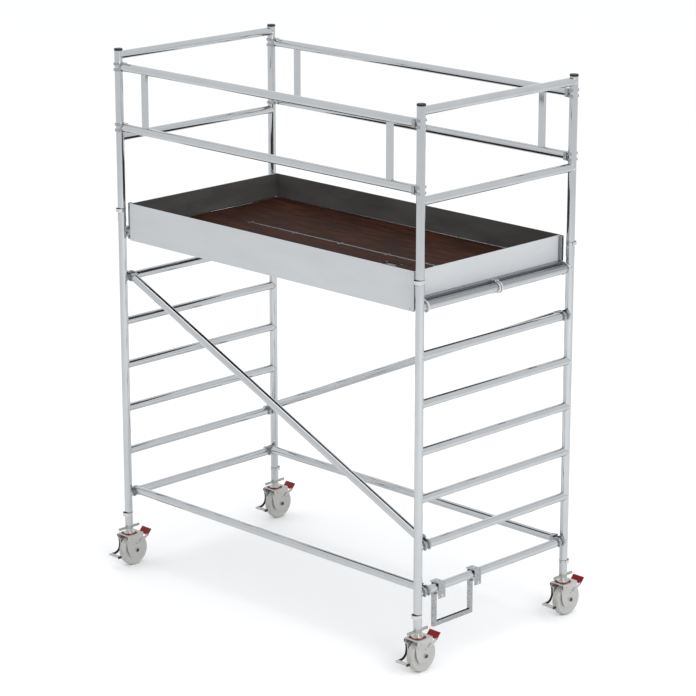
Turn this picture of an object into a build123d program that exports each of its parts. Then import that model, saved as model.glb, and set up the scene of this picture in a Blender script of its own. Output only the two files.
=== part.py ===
from build123d import *

import os
from math import cos, radians, sin

# A rolling scaffold tower: two ladder frames on castors, joined by braces and by two platforms,
# with a guard frame plugged into each ladder frame, side guards and toe boards round the deck.
# X runs along the tower, Y across it and Z up. The origin is on the floor, under the middle of
# the tower's outline. Sizes are in millimetres.

os.makedirs("parts", exist_ok=True)

# ---- driving dimensions ------------------------------------------------------------------
frame_spacing = 2510.0      # between the post axes of the two ladder frames, along X
post_spacing = 1270.0       # between the two posts of one ladder frame, along Y
tube_radius = 25.0
tube_wall = 2.2
rung_pitch = 280.0
rung_count = 7
lowest_rung = 478.0         # height of the first rung's axis
post_lift = 56.0            # lower end of the ladder posts, above the castors' crowns
joint_height = 2230.0       # ladder posts end and guard posts begin
tower_height = 3300.0
cap_height = 12.0

guard_rail_heights = (2757.0, 3258.0)       # rails welded across a guard frame
side_guard_heights = (2820.0, 3190.0)       # tubes of a side guard
side_guard_bar_inset = 235.0                # upright bar of a side guard, from the post axis
side_guard_bar = (40.0, 20.0)               # its section, along X and Y

brace_inset = 50.0          # brace axis, inward of the post axis
brace_lift = 17.0           # brace axis, above the rung axis
brace_end = 48.0            # from the rung axis to the brace tube's end
diagonal_rungs = (5, 1)     # rungs that a diagonal joins, counted from 0

fixed_gap = 0.3             # between two fixed pieces that rest on each other
running_gap = 0.05          # on the radius of a shaft that turns in its hole

# castor, measured from the spindle's axis
wheel_radius = 100.0
wheel_width = 50.0
wheel_hub_radius = 24.0
wheel_dish = 2.5            # the wheel's face is sunk this far between rim and hub
wheel_trail = 30.0          # wheel axle behind the spindle axis, towards +Y
axle_radius = 8.0
axle_nut_radius = 14.0
axle_nut_height = 7.0
leg_gap = 6.0               # between the wheel's side and a fork leg
leg_thickness = 6.0
crown_half_width = 52.0
crown_front = -50.0
crown_back = 74.0
crown_top = 212.0
crown_thickness = 6.0
crown_corner = 5.0
skirt_thickness = 5.0
skirt_depth = 36.0
shelf_thickness = 6.0
kingpin_radius = 10.0
kingpin_head = (15.0, 4.5)  # radius and height
cover_size = 78.0
cover_corner = 14.0
cover_thickness = 4.5
race_radius = 36.0
race_height = 5.5
spindle_radius = 18.0
spindle_top = 470.0
spindle_flange = (26.0, 6.0)    # radius and height
guide_length = 30.0             # plain guide at the spindle's upper end
nut_step = 1.0              # the nut's body is this much smaller in radius than the post
nut_height = 22.0
nut_wing_reach = 85.0
nut_wing_section = (12.0, 13.0)  # width and height

pedal_reach = 120.0         # brake pedal's tip, towards -Y
pedal_bar = (24.0, 12.0)    # depth and height of the pedal's tread
pedal_bar_end = 31.0        # its free end, past the castor's middle
pedal_height = 76.0         # its underside
pedal_arm_thickness = 6.0
pedal_arm_width = 14.0
pedal_arm_gap = 1.0         # between the arm and the crown's side
pedal_pivot_y = -25.0
pedal_pivot_drop = 20.0     # below the crown's top
release_reach = 150.0       # red release pad's tip, towards +Y
release_pivot_y = 60.0
release_pivot_drop = 62.0   # below the crown's top
release_pad = (46.0, 6.0)   # length of its slope and thickness
release_pad_angle = 48.0
release_pad_drop = 17.0     # its middle, below the crown's top
release_arm_thickness = 3.5
pivot_radius = 4.0
pivot_boss = 10.0

# locking clips
clip_pin_radius = 4.0
clip_wall = 1.8
clip_height = 20.0
clip_standoff = 13.0        # from the tube's surface to the closed end of the clip
clip_arm = 8.0              # arms reach this far past the tube's axis
clip_pin_depth = 17.0       # pin reaches this far inside the tube's surface
castor_clip_height = 343.0
frame_clip_height = 2306.0
joint_collar = (1.5, 55.0)  # swaged collar of a guard post: extra radius and length
spigot_below = 90.0
spigot_above = 110.0
spigot_wall = 3.0

# claws
claw_wall = 9.0
claw_width = 48.0
claw_slot = 20.0            # between the two cheeks of a claw
guard_claw_wall = 7.0
guard_claw_height = 50.0
claw_plug = 30.0
plug_overlap = 1.0          # the plug runs this far into the claw's neck
neck_trim = 3.0             # the neck is this much thinner than the tube, above and below
latch_wall = 4.0
latch_width = 10.0

# platforms
deck_top = 2200.0
platform_edge = 612.0       # outer edge of a platform, from the tower's middle
platform_seam = 6.0         # between the two platforms
beam_width = 25.0
beam_depth = 80.0
beam_wall = 3.0
beam_lip = 3.0
deck_thickness = 12.0
end_beam_width = 58.0       # from the inner side to the claw side
end_beam_gap = 2.0          # between the end beam's outer side and the rung's surface
saddle_wall = 4.0
platform_claw_wall = 10.0
platform_claw_width = 12.0
platform_claw_inset = 10.0  # from the platform's outer edge
cross_member = (30.0, 50.0)     # width and depth
hatch_center = 565.0        # along X
hatch_length = 600.0
hatch_outer_edge = 525.0    # hinged edge, from the tower's middle
hatch_inner_edge = 95.0
hatch_clearance = 3.0
hinge_radius = 5.0
hinge_pin_radius = 2.5
hinge_setback = 6.0
knuckle_length = 60.0
leaf_wall = 2.5
leaf_drop = 24.0
handle_size = (86.0, 34.0)
handle_radius = 3.0
handle_inset = 34.0         # handle pocket, from the hatch's free edge

# toe boards
toe_board_top = 2350.0
toe_board_thickness = 8.0
toe_board_drop = 80.0       # long boards hang this far below the deck
long_board_face = 622.0     # outer face of a long board, from the tower's middle
long_board_inset = 59.0     # a long board's end, from the post axis
end_board_inset = 55.0      # outer face of an end board, from the post axis
corner_profile = 23.0       # square corner profile
corner_wall = 2.5

# hang-on step on the lowest rung of the frame at +X
step_leg_places = (-483.0, -179.0)      # from the tower's middle
step_hook_shift = 18.0      # a hook's middle, past its leg's middle
step_hook_width = 55.0
step_hook_wall = 5.0
step_hook_drop = 63.0       # below the rung's axis
step_hook_lip = 10.0        # top plate's overhang on the inner side
step_bar = (20.0, 26.0)     # section of its legs, along X and Y
step_bar_wall = 3.0
step_leg_gap = 2.0          # between a leg's top and the rung
step_bottom = 236.0
step_tread_height = 26.0

# ---- derived places ----------------------------------------------------------------------
middle_y = (pedal_reach - release_reach) / 2    # centres the outline on the origin
post_x = frame_spacing / 2
front_y = middle_y - post_spacing / 2
back_y = middle_y + post_spacing / 2
tube_bore = tube_radius - tube_wall
post_foot = crown_top + post_lift
nut_radius = tube_radius - nut_step
end_beam_clear = tube_radius + end_beam_gap     # end beam's outer side, from the rung axis
long_board_end = post_x - long_board_inset
end_board_face = post_x - end_board_inset
grip = tube_radius + fixed_gap                  # inside radius of what wraps a tube
rung_heights = [lowest_rung + rung_pitch * step for step in range(rung_count)]
top_rung = rung_heights[-1]
ends = {"left": -1, "right": 1}
sides = {"front": -1, "back": 1}
corners = {"fl": (-1, -1), "fr": (1, -1), "bl": (-1, 1), "br": (1, 1)}


def side_y(side, inset=0.0):
    """Y of the post plane on one side, moved inward."""
    return middle_y + side * (post_spacing / 2 - inset)


def save(piece, name):
    """Label a finished piece and write it."""
    piece.label = name
    export_step(piece, "parts/" + name + ".step")


def tube(start, end, radius=tube_radius, wall=tube_wall):
    """Add a hollow tube from one point to another to the open part."""
    run = Vector(*end) - Vector(*start)
    with BuildSketch(Plane(origin=start, z_dir=run)) as ring:
        Circle(radius)
        Circle(radius - wall, mode=Mode.SUBTRACT)
    extrude(ring.sketch, amount=run.length)


def bar_along(axis_dir, center, radius, length, mode=Mode.ADD):
    """Add or cut a round bar centred on a point."""
    with BuildSketch(Plane(origin=center, z_dir=axis_dir)) as disc:
        Circle(radius)
    extrude(disc.sketch, amount=length / 2, both=True, mode=mode)


def cut_posts(x, y_values, low, high):
    """Cut the open part back to the surface of the posts."""
    for y in y_values:
        with BuildSketch(Plane.XY.offset(low)) as disc:
            with Locations((x, y)):
                Circle(tube_radius)
        extrude(disc.sketch, amount=high - low, mode=Mode.SUBTRACT)


# ---- ladder frames -----------------------------------------------------------------------
def ladder_frame(end):
    """Two posts and seven rungs, with a pin hole at each castor."""
    x = end * post_x
    with BuildPart() as frame:
        for height in rung_heights:
            tube((x, front_y, height), (x, back_y, height))
        cut_posts(x, (front_y, back_y), post_foot, joint_height)
        rungs = list(frame.part.solids())
    posts = []
    for y in (front_y, back_y):
        with BuildPart() as post:
            tube((x, y, post_foot), (x, y, joint_height))
            bar_along((0, 1, 0), (x, y, castor_clip_height), clip_pin_radius + running_gap,
                      4 * tube_radius, Mode.SUBTRACT)
        posts.append(post.part.solid())
    return Compound(children=rungs + posts)


for end_name, end in ends.items():
    save(ladder_frame(end), "ladder_frame_" + end_name)


# ---- guard frames ------------------------------------------------------------------------
def guard_post(x, y):
    """Post with a swaged collar at the joint and a pin hole above it."""
    collar_radius = tube_radius + joint_collar[0]
    post_top = tower_height - cap_height
    with BuildPart() as post:
        with BuildSketch(Plane.XY.offset(joint_height)):
            with Locations((x, y)):
                Circle(collar_radius)
        extrude(amount=joint_collar[1])
        chamfer(post.edges().group_by(Axis.Z)[-1], joint_collar[0] * 0.9)
        with BuildSketch(Plane.XY.offset(joint_height)):
            with Locations((x, y)):
                Circle(tube_radius)
        extrude(amount=post_top - joint_height)
        with BuildSketch(Plane.XY.offset(joint_height)):
            with Locations((x, y)):
                Circle(tube_bore)
        extrude(amount=post_top - joint_height, mode=Mode.SUBTRACT)
        bar_along((0, 1, 0), (x, y, frame_clip_height), clip_pin_radius + running_gap,
                  4 * tube_radius, Mode.SUBTRACT)
    return post.part.solid()


def guard_frame(end):
    """Two posts with two rails welded between them."""
    x = end * post_x
    with BuildPart() as rails:
        for height in guard_rail_heights:
            tube((x, front_y, height), (x, back_y, height))
        cut_posts(x, (front_y, back_y), joint_height, tower_height)
    posts = [guard_post(x, front_y), guard_post(x, back_y)]
    return Compound(children=list(rails.part.solids()) + posts)


for end_name, end in ends.items():
    save(guard_frame(end), "guard_frame_" + end_name)

with BuildPart() as spigots:
    for end, side in corners.values():
        x, y = end * post_x, side_y(side)
        low, high = joint_height - spigot_below, joint_height + spigot_above
        tube((x, y, low), (x, y, high), tube_bore - running_gap, spigot_wall)
        bar_along((0, 1, 0), (x, y, frame_clip_height), clip_pin_radius + running_gap,
                  4 * tube_radius, Mode.SUBTRACT)
save(spigots.part, "joint_spigots")

with BuildPart() as post_caps:
    for end, side in corners.values():
        top = tower_height - cap_height
        with BuildSketch(Plane.XY.offset(top)):
            with Locations((end * post_x, side_y(side))):
                Circle(tube_radius + 1)
        extrude(amount=cap_height)
        with BuildSketch(Plane.XY.offset(top - cap_height)):
            with Locations((end * post_x, side_y(side))):
                Circle(tube_bore - running_gap)
        extrude(amount=cap_height)
    fillet(post_caps.edges().group_by(Axis.Z)[-1], 3)
save(post_caps.part, "post_caps")


# ---- side guards -------------------------------------------------------------------------
guard_tube_end = post_x - brace_end


def side_guard(side):
    """Two long tubes with two upright bars between them."""
    y = side_y(side)
    low, high = side_guard_heights
    with BuildPart() as bars:
        for end in ends.values():
            with BuildSketch(Plane.XY.offset(low)):
                with Locations((end * (post_x - side_guard_bar_inset), y)):
                    Rectangle(*side_guard_bar)
                    Rectangle(side_guard_bar[0] - 2 * tube_wall, side_guard_bar[1] - 2 * tube_wall,
                              mode=Mode.SUBTRACT)
            extrude(amount=high - low)
        for height in side_guard_heights:
            bar_along((1, 0, 0), (0, y, height), tube_radius, frame_spacing,
                      Mode.SUBTRACT)
    with BuildPart() as tubes:
        for height in side_guard_heights:
            tube((-guard_tube_end, y, height), (guard_tube_end, y, height))
    return Compound(children=list(tubes.part.solids()) + list(bars.part.solids()))


for side_name, side in sides.items():
    save(side_guard(side), "side_guard_" + side_name)

with BuildPart() as side_guard_claws:
    for end, side in corners.values():
        x, y = end * post_x, side_y(side)
        for height in side_guard_heights:
            with BuildSketch(Plane.XY.offset(height - guard_claw_height / 2)):
                with Locations((x, y)):
                    Circle(grip + guard_claw_wall)
                with Locations((x - end * (tube_radius + brace_end) / 2, y)):
                    Rectangle(brace_end - tube_radius, guard_claw_height)
                with Locations((x, y)):
                    Circle(grip, mode=Mode.SUBTRACT)
                    mouth = 2 * grip
                    Polygon((0, 0), (end * mouth * 0.55, mouth), (end * mouth, mouth),
                            (end * mouth, -mouth), (end * mouth * 0.55, -mouth), align=None,
                            mode=Mode.SUBTRACT)
            extrude(amount=guard_claw_height)
            with BuildSketch(Plane.XY.offset(height - claw_slot / 2)):
                with Locations((x, y)):
                    Circle(grip + guard_claw_wall)
                    Circle(grip, mode=Mode.SUBTRACT)
            extrude(amount=claw_slot, mode=Mode.SUBTRACT)
            bar_along((1, 0, 0), (x - end * (brace_end + claw_plug / 2 - plug_overlap), y, height),
                      tube_bore - running_gap, claw_plug)
save(side_guard_claws.part, "side_guard_claws")


# ---- braces ------------------------------------------------------------------------------
def brace_ends(side, rungs):
    """Rung points that a brace joins, and the unit vectors along and above it."""
    y = side_y(side, brace_inset)
    start = Vector(-post_x, y, rung_heights[rungs[0]])
    finish = Vector(post_x, y, rung_heights[rungs[1]])
    along = (finish - start).normalized()
    above = Vector(-along.Z, 0, along.X)
    return start, finish, along, above


def brace_tube(side, rungs):
    """Add one brace tube, lifted clear of the rungs that it joins."""
    start, finish, along, above = brace_ends(side, rungs)
    lifted = above * brace_lift
    tube(tuple(start + along * brace_end + lifted), tuple(finish - along * brace_end + lifted))


def diagonal(side):
    """Rungs joined by the diagonal on one side: it falls at the front and rises at the back."""
    return diagonal_rungs if side < 0 else diagonal_rungs[::-1]


brace_routes = [(side, rungs) for side in sides.values() for rungs in ((0, 0), diagonal(side))]

with BuildPart() as base_braces:
    for side in sides.values():
        brace_tube(side, (0, 0))
save(base_braces.part, "base_braces")

with BuildPart() as diagonal_braces:
    for side in sides.values():
        brace_tube(side, diagonal(side))
save(diagonal_braces.part, "diagonal_braces")


def brace_claw(rung_point, inward, above):
    """Add a hook over a rung, open below, with a neck and a plug for the brace tube."""
    angle = Vector(1, 0, 0).get_signed_angle(inward, Vector(0, -1, 0))
    neck_length = brace_end - tube_radius
    neck_middle = inward * ((brace_end + tube_radius) / 2) + above * brace_lift
    reach = 2 * grip
    with BuildSketch(Plane(origin=rung_point, x_dir=(1, 0, 0), z_dir=(0, -1, 0))) as hook:
        Circle(grip + claw_wall)
        with Locations((neck_middle.X, neck_middle.Z)):
            Rectangle(neck_length, 2 * (tube_radius - neck_trim), rotation=angle)
        Circle(grip, mode=Mode.SUBTRACT)
        Polygon((0, 0), (-reach, -reach * 0.9), (-reach, -3 * reach), (reach, -3 * reach),
                (reach, -reach * 0.9), align=None, mode=Mode.SUBTRACT)
    extrude(hook.sketch, amount=claw_width / 2, both=True)
    with BuildSketch(Plane(origin=rung_point, x_dir=(1, 0, 0), z_dir=(0, -1, 0))) as slot:
        Circle(grip + claw_wall)
        Circle(grip, mode=Mode.SUBTRACT)
    extrude(slot.sketch, amount=claw_slot / 2, both=True, mode=Mode.SUBTRACT)
    plug_middle = inward * (brace_end + claw_plug / 2 - plug_overlap) + above * brace_lift
    plug_middle = rung_point + plug_middle
    bar_along(tuple(inward), tuple(plug_middle), tube_bore - running_gap, claw_plug)


def brace_latch(rung_point, end):
    """Add the curved safety latch that closes the mouth of a claw from the inner side."""
    inner, outer = grip, grip + latch_wall
    with BuildSketch(Plane(origin=rung_point, x_dir=(1, 0, 0), z_dir=(0, -1, 0))) as arc:
        Circle(outer)
        Circle(inner, mode=Mode.SUBTRACT)
        reach = 2 * grip
        Polygon((0, 0), (-end * reach * 0.85, -reach * 0.8), (-end * reach, reach),
                (end * reach, reach), (end * reach, -reach), (0, -reach * 2), align=None,
                mode=Mode.SUBTRACT)
    extrude(arc.sketch, amount=latch_width / 2, both=True)


with BuildPart() as brace_claws:
    for side, rungs in brace_routes:
        start, finish, along, above = brace_ends(side, rungs)
        brace_claw(start, along, above)
        brace_claw(finish, along * -1, above)
save(brace_claws.part, "brace_claws")

with BuildPart() as brace_latches:
    for side, rungs in brace_routes:
        start, finish, along, above = brace_ends(side, rungs)
        brace_latch(start, -1)
        brace_latch(finish, 1)
save(brace_latches.part, "brace_latches")


# ---- castors -----------------------------------------------------------------------------
leg_inside = wheel_width / 2 + leg_gap
leg_outside = leg_inside + leg_thickness
shelf_top = crown_top - skirt_depth
pedal_pivot = (pedal_pivot_y, crown_top - pedal_pivot_drop)
release_pivot = (release_pivot_y, crown_top - release_pivot_drop)
release_pad_height = crown_top - release_pad_drop
axle_half = leg_outside + fixed_gap


def castor_plane(x, y, height=0.0):
    """Level plane on a castor's spindle axis."""
    return Plane(origin=(x, y, height))


def side_plane(x, y, offset=0.0):
    """Upright plane across a castor: its first axis is +Y and its second is +Z."""
    return Plane(origin=(x + offset, y, 0), x_dir=(0, 1, 0), z_dir=(1, 0, 0))


def section_plane(x, y):
    """Upright plane along X through a castor: its axes are +X and +Z."""
    return Plane(origin=(x, y, 0), x_dir=(1, 0, 0), z_dir=(0, -1, 0))


def castor_spindle(x, y):
    """Threaded spindle with its kingpin, flange and the guide that fills the post."""
    pin_low = crown_top - crown_thickness - fixed_gap
    race_low = crown_top + cover_thickness + 2 * fixed_gap
    flange_low = race_low + race_height
    with BuildPart() as spindle:
        for low, high, radius in (
            (pin_low - kingpin_head[1], pin_low, kingpin_head[0]),
            (pin_low, race_low, kingpin_radius),
            (race_low, flange_low, race_radius),
            (flange_low, flange_low + spindle_flange[1], spindle_flange[0]),
            (flange_low + spindle_flange[1], spindle_top, spindle_radius),
            (spindle_top - guide_length, spindle_top, tube_bore - running_gap),
        ):
            with BuildSketch(castor_plane(x, y, low)):
                Circle(radius)
            extrude(amount=high - low)
        bar_along((0, 1, 0), (x, y, castor_clip_height), clip_pin_radius + running_gap,
                  4 * tube_radius, Mode.SUBTRACT)
    return spindle.part.solid()


def castor_fork(x, y):
    """Pressed fork: crown, stepped sides and legs, cut to their outline seen from the side."""
    with BuildPart() as fork:
        with BuildSketch(section_plane(x, y)):
            for hand in (-1, 1):
                with Locations((hand * (crown_half_width - skirt_thickness / 2),
                                crown_top - skirt_depth / 2)):
                    Rectangle(skirt_thickness, skirt_depth)
                with Locations((hand * (leg_inside + crown_half_width) / 2,
                                shelf_top + shelf_thickness / 2)):
                    Rectangle(crown_half_width - leg_inside, shelf_thickness)
                with Locations((hand * (leg_inside + leg_outside) / 2,
                                (shelf_top + shelf_thickness) / 2)):
                    Rectangle(leg_thickness, shelf_top + shelf_thickness)
            with Locations((0, crown_top - crown_thickness / 2)):
                Rectangle(2 * crown_half_width, crown_thickness)
        extrude(amount=2 * wheel_radius, both=True)
        with BuildSketch(side_plane(x, y)) as outline:
            with Locations(((crown_front + crown_back) / 2, crown_top - skirt_depth / 2)):
                Rectangle(crown_back - crown_front, skirt_depth)
            Polygon((crown_front, shelf_top), (crown_back, shelf_top),
                    (crown_back - 12, wheel_radius + 5), (wheel_trail + 12, wheel_radius - 38),
                    (crown_front + 30, wheel_radius - 36), (crown_front + 8, wheel_radius + 8),
                    align=None)
            fillet(outline.vertices().sort_by(Axis.Y)[:4], 18)
        extrude(amount=2 * crown_half_width, both=True, mode=Mode.INTERSECT)
        with BuildSketch(castor_plane(x, y, crown_top)):
            Circle(kingpin_radius + running_gap)
        extrude(amount=-2 * crown_thickness, mode=Mode.SUBTRACT)
        bar_along((1, 0, 0), (x, y + wheel_trail, wheel_radius), axle_radius + running_gap,
                  4 * crown_half_width, Mode.SUBTRACT)
        for hole_y, hole_z, hole_radius in (
            (pedal_pivot[0], pedal_pivot[1], pivot_radius + running_gap),
            (release_pivot[0], release_pivot[1], pivot_radius + running_gap),
            (wheel_trail, wheel_radius + 42, 3.5),
        ):
            bar_along((1, 0, 0), (x, y + hole_y, hole_z), hole_radius,
                      4 * crown_half_width, Mode.SUBTRACT)
        with BuildSketch(castor_plane(x, y)):
            with Locations((0, (crown_front + crown_back) / 2)):
                RectangleRounded(2 * crown_half_width, crown_back - crown_front, crown_corner)
        extrude(amount=crown_top, mode=Mode.INTERSECT)
    return fork.part.solid()


def castor_axle(x, y):
    """Axle bolt with a hexagon head and nut outside the legs."""
    with BuildPart() as axle:
        bar_along((1, 0, 0), (x, y + wheel_trail, wheel_radius), axle_radius,
                  2 * (axle_half + axle_nut_height))
        for hand in (-1, 1):
            with BuildSketch(side_plane(x, y, hand * axle_half)):
                with Locations((wheel_trail, wheel_radius)):
                    RegularPolygon(axle_nut_radius, 6)
            extrude(amount=hand * axle_nut_height)
    return axle.part.solid()


def castor_wheel(x, y):
    """Solid wheel turned about its axle, with a shallow dished face and a long hub."""
    half = wheel_width / 2
    hub_half = leg_inside - fixed_gap
    center = (x, y + wheel_trail, wheel_radius)
    with BuildPart() as wheel:
        with BuildSketch(Plane(origin=center, x_dir=(1, 0, 0), z_dir=(0, -1, 0))) as profile:
            Polygon((-hub_half, axle_radius + running_gap), (hub_half, axle_radius + running_gap),
                    (hub_half, wheel_hub_radius), (half - wheel_dish, wheel_hub_radius + 6),
                    (half - wheel_dish, wheel_radius * 0.74), (half, wheel_radius * 0.80),
                    (half, wheel_radius - 7), (half - 10, wheel_radius), (-half + 10, wheel_radius),
                    (-half, wheel_radius - 7), (-half, wheel_radius * 0.80),
                    (-half + wheel_dish, wheel_radius * 0.74), (-half + wheel_dish, wheel_hub_radius + 6),
                    (-hub_half, wheel_hub_radius), align=None)
            fillet(profile.vertices().group_by(Axis.Y)[-1], 6)
        revolve(axis=Axis(center, (1, 0, 0)))
    return wheel.part


def swivel_cover(x, y):
    """Square dust cover on the crown, under the bearing race."""
    with BuildPart() as cover:
        with BuildSketch(castor_plane(x, y, crown_top + fixed_gap)):
            RectangleRounded(cover_size, cover_size, cover_corner)
            Circle(kingpin_radius + running_gap, mode=Mode.SUBTRACT)
        extrude(amount=cover_thickness)
        fillet(cover.edges().group_by(Axis.Z)[-1].sort_by(Edge.length)[-1:], 1)
    return cover.part


def brake_pedal(x, y):
    """Pedal tread across the front, carried by one bowed arm outside the fork."""
    arm_inner = -crown_half_width - pedal_arm_gap
    arm_outer = arm_inner - pedal_arm_thickness
    tread_middle = pedal_height + pedal_bar[1] / 2
    with BuildPart() as pedal:
        with BuildSketch(side_plane(x, y, arm_inner)):
            with BuildLine():
                Spline((crown_front + 4, crown_top - 10),
                       (pedal_pivot_y - 5, (pedal_pivot[1] + wheel_radius) / 2),
                       (pedal_pivot_y - 12, wheel_radius + 6),
                       (-pedal_reach + pedal_bar[0], tread_middle))
            trace(line_width=pedal_arm_width)
            with Locations(pedal_pivot):
                Circle(pivot_boss)
            with Locations(((pedal_pivot_y + crown_front) / 2, pedal_pivot[1])):
                Rectangle(pedal_pivot_y - crown_front, pivot_boss)
        extrude(amount=-pedal_arm_thickness)
        with BuildSketch(side_plane(x, y, arm_outer)):
            with Locations((-pedal_reach + pedal_bar[0] / 2, tread_middle)):
                RectangleRounded(*pedal_bar, 3)
        extrude(amount=pedal_bar_end - arm_outer)
        with BuildSketch(side_plane(x, y, arm_inner)):
            with Locations(pedal_pivot):
                Circle(pivot_radius)
        extrude(amount=skirt_thickness + pedal_arm_gap)
    return pedal.part


def brake_release(x, y):
    """Release pad behind the wheel, sloping up and back on two arms."""
    with BuildPart() as release:
        for hand in (-1, 1):
            with BuildSketch(side_plane(x, y, hand * (leg_outside + 1))):
                with Locations(release_pivot):
                    Circle(pivot_boss - 1)
                Polygon((release_pivot[0] - 3, release_pivot[1] + 8.5), (108, crown_top - 26),
                        (120, crown_top - 22), (124, crown_top - 32), (112, crown_top - 44),
                        (release_pivot[0] + 6, release_pivot[1] - 7), align=None)
            extrude(amount=hand * release_arm_thickness)
            with BuildSketch(side_plane(x, y, hand * (leg_outside + 1))):
                with Locations(release_pivot):
                    Circle(pivot_radius)
            extrude(amount=-hand * leg_thickness)
        slope = radians(release_pad_angle)
        pad_depth = release_pad[0] * cos(slope) + release_pad[1] * sin(slope)
        with BuildSketch(side_plane(x, y)):
            with Locations((release_reach - pad_depth / 2, release_pad_height)):
                Rectangle(*release_pad, rotation=release_pad_angle)
        extrude(amount=leg_outside + 1 + release_arm_thickness, both=True)
    return release.part


def spindle_nut(x, y):
    """Wing nut that carries the post, with two handles along Y."""
    low = post_foot - fixed_gap - nut_height
    width, height = nut_wing_section
    with BuildPart() as nut:
        with BuildSketch(castor_plane(x, y, low)):
            Circle(nut_radius)
        extrude(amount=nut_height)
        with BuildSketch(castor_plane(x, y, low)):
            SlotOverall(2 * nut_wing_reach, width, rotation=90)
        extrude(amount=height)
        with BuildSketch(castor_plane(x, y, low)):
            Circle(spindle_radius + running_gap)
        extrude(amount=nut_height, mode=Mode.SUBTRACT)
    return nut.part


def lock_clip(x, y, outward, height):
    """Spring clip: a U of strip round the tube with a pin through the tube's wall."""
    half = tube_radius + 2 * fixed_gap
    bend = outward * clip_standoff
    with BuildPart() as clip:
        with BuildSketch(castor_plane(x, y, height - clip_height / 2)):
            with Locations((0, bend)):
                Circle(half + clip_wall)
            with Locations((0, (bend - outward * clip_arm) / 2)):
                Rectangle(2 * (half + clip_wall), clip_standoff + clip_arm)
            with Locations((0, bend)):
                Circle(half, mode=Mode.SUBTRACT)
            with Locations((0, bend / 2 - outward * tube_radius)):
                Rectangle(2 * half, clip_standoff + 2 * tube_radius, mode=Mode.SUBTRACT)
            with Locations((0, -outward * (clip_arm + tube_radius))):
                Rectangle(4 * half, 2 * tube_radius, mode=Mode.SUBTRACT)
        extrude(amount=clip_height)
        pin_start = tube_radius - clip_pin_depth
        pin_end = half + clip_standoff + clip_wall
        bar_along((0, 1, 0), (x, y + outward * (pin_start + pin_end) / 2, height),
                  clip_pin_radius, pin_end - pin_start)
    return clip.part


spindles = []
for code, (end, side) in corners.items():
    x, y = end * post_x, side_y(side)
    spindles.append(castor_spindle(x, y))
    save(Compound(children=[castor_fork(x, y), castor_axle(x, y)]), "castor_fork_" + code)
    save(castor_wheel(x, y), "castor_wheel_" + code)
    save(swivel_cover(x, y), "swivel_cover_" + code)
    save(brake_pedal(x, y), "brake_pedal_" + code)
    save(brake_release(x, y), "brake_release_" + code)
    save(spindle_nut(x, y), "spindle_nut_" + code)
    save(lock_clip(x, y, side, castor_clip_height), "castor_clip_" + code)
    save(lock_clip(x, y, side, frame_clip_height), "frame_clip_" + code)
save(Compound(children=spindles), "castor_spindles")


# ---- platforms ---------------------------------------------------------------------------
beam_bottom = deck_top - beam_depth
ply_end = post_x - end_beam_clear - end_beam_width
hatch_low_x = hatch_center - hatch_length / 2
hatch_high_x = hatch_center + hatch_length / 2


def across(side, inner, outer):
    """Y of the middle of a strip between two distances from the tower's middle, and its width."""
    return middle_y + side * (inner + outer) / 2, outer - inner


def side_beam(side, inner, outer, lip_side):
    """Box beam along a platform with a ledge for the plywood and a thin lip outside it."""
    y, width = across(side, inner, outer)
    with BuildPart() as beam:
        with BuildSketch(Plane(origin=(0, y, beam_bottom), x_dir=(0, 1, 0), z_dir=(1, 0, 0))):
            with Locations((0, beam_depth / 2)):
                Rectangle(width, beam_depth)
            with Locations((0, (beam_depth - deck_thickness) / 2)):
                Rectangle(width - 2 * beam_wall, beam_depth - deck_thickness - 2 * beam_wall,
                          mode=Mode.SUBTRACT)
            with Locations((-lip_side * beam_lip, beam_depth - deck_thickness / 2)):
                Rectangle(width, deck_thickness, mode=Mode.SUBTRACT)
        extrude(amount=ply_end, both=True)
    return beam.part.solid()


def end_beam(end, side):
    """Box beam at a platform's end, with a saddle over the top rung."""
    claw_space = platform_claw_inset + platform_claw_width + fixed_gap
    inner = platform_seam / 2 + claw_space - platform_claw_inset
    y, width = across(side, inner, platform_edge - claw_space)
    reach = 3 * grip
    with BuildPart() as beam:
        with BuildSketch(Plane(origin=(end * post_x, y, top_rung), x_dir=(1, 0, 0),
                               z_dir=(0, -1, 0))):
            with Locations((-end * (end_beam_clear + end_beam_width / 2),
                            deck_top - top_rung - beam_depth / 2)):
                Rectangle(end_beam_width, beam_depth)
                Rectangle(end_beam_width - 2 * beam_wall, beam_depth - 2 * beam_wall,
                          mode=Mode.SUBTRACT)
            Circle(grip + saddle_wall)
            Circle(grip, mode=Mode.SUBTRACT)
            Polygon((0, 0), (-end * reach, 0), (-end * reach, -reach), (end * reach, -reach),
                    (end * reach, reach * 0.35), align=None, mode=Mode.SUBTRACT)
            with Locations((-end * (end_beam_clear + end_beam_width / 2),
                            deck_top - top_rung - beam_depth / 2)):
                Rectangle(end_beam_width, beam_depth)
                Rectangle(end_beam_width - 2 * beam_wall, beam_depth - 2 * beam_wall,
                          mode=Mode.SUBTRACT)
        extrude(amount=width / 2, both=True)
    return beam.part.solid()


def cross_beams(side, places):
    """Cross members under the plywood."""
    y, width = across(side, platform_seam / 2 + beam_width, platform_edge - beam_width)
    beams = []
    for x in places:
        with BuildPart() as member:
            height = deck_top - deck_thickness - cross_member[1] / 2
            with BuildSketch(Plane(origin=(x, y, height), x_dir=(1, 0, 0), z_dir=(0, -1, 0))):
                Rectangle(*cross_member)
                Rectangle(cross_member[0] - 2 * beam_wall, cross_member[1] - 2 * beam_wall,
                          mode=Mode.SUBTRACT)
            extrude(amount=width / 2, both=True)
        beams.append(member.part.solid())
    return beams


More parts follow.
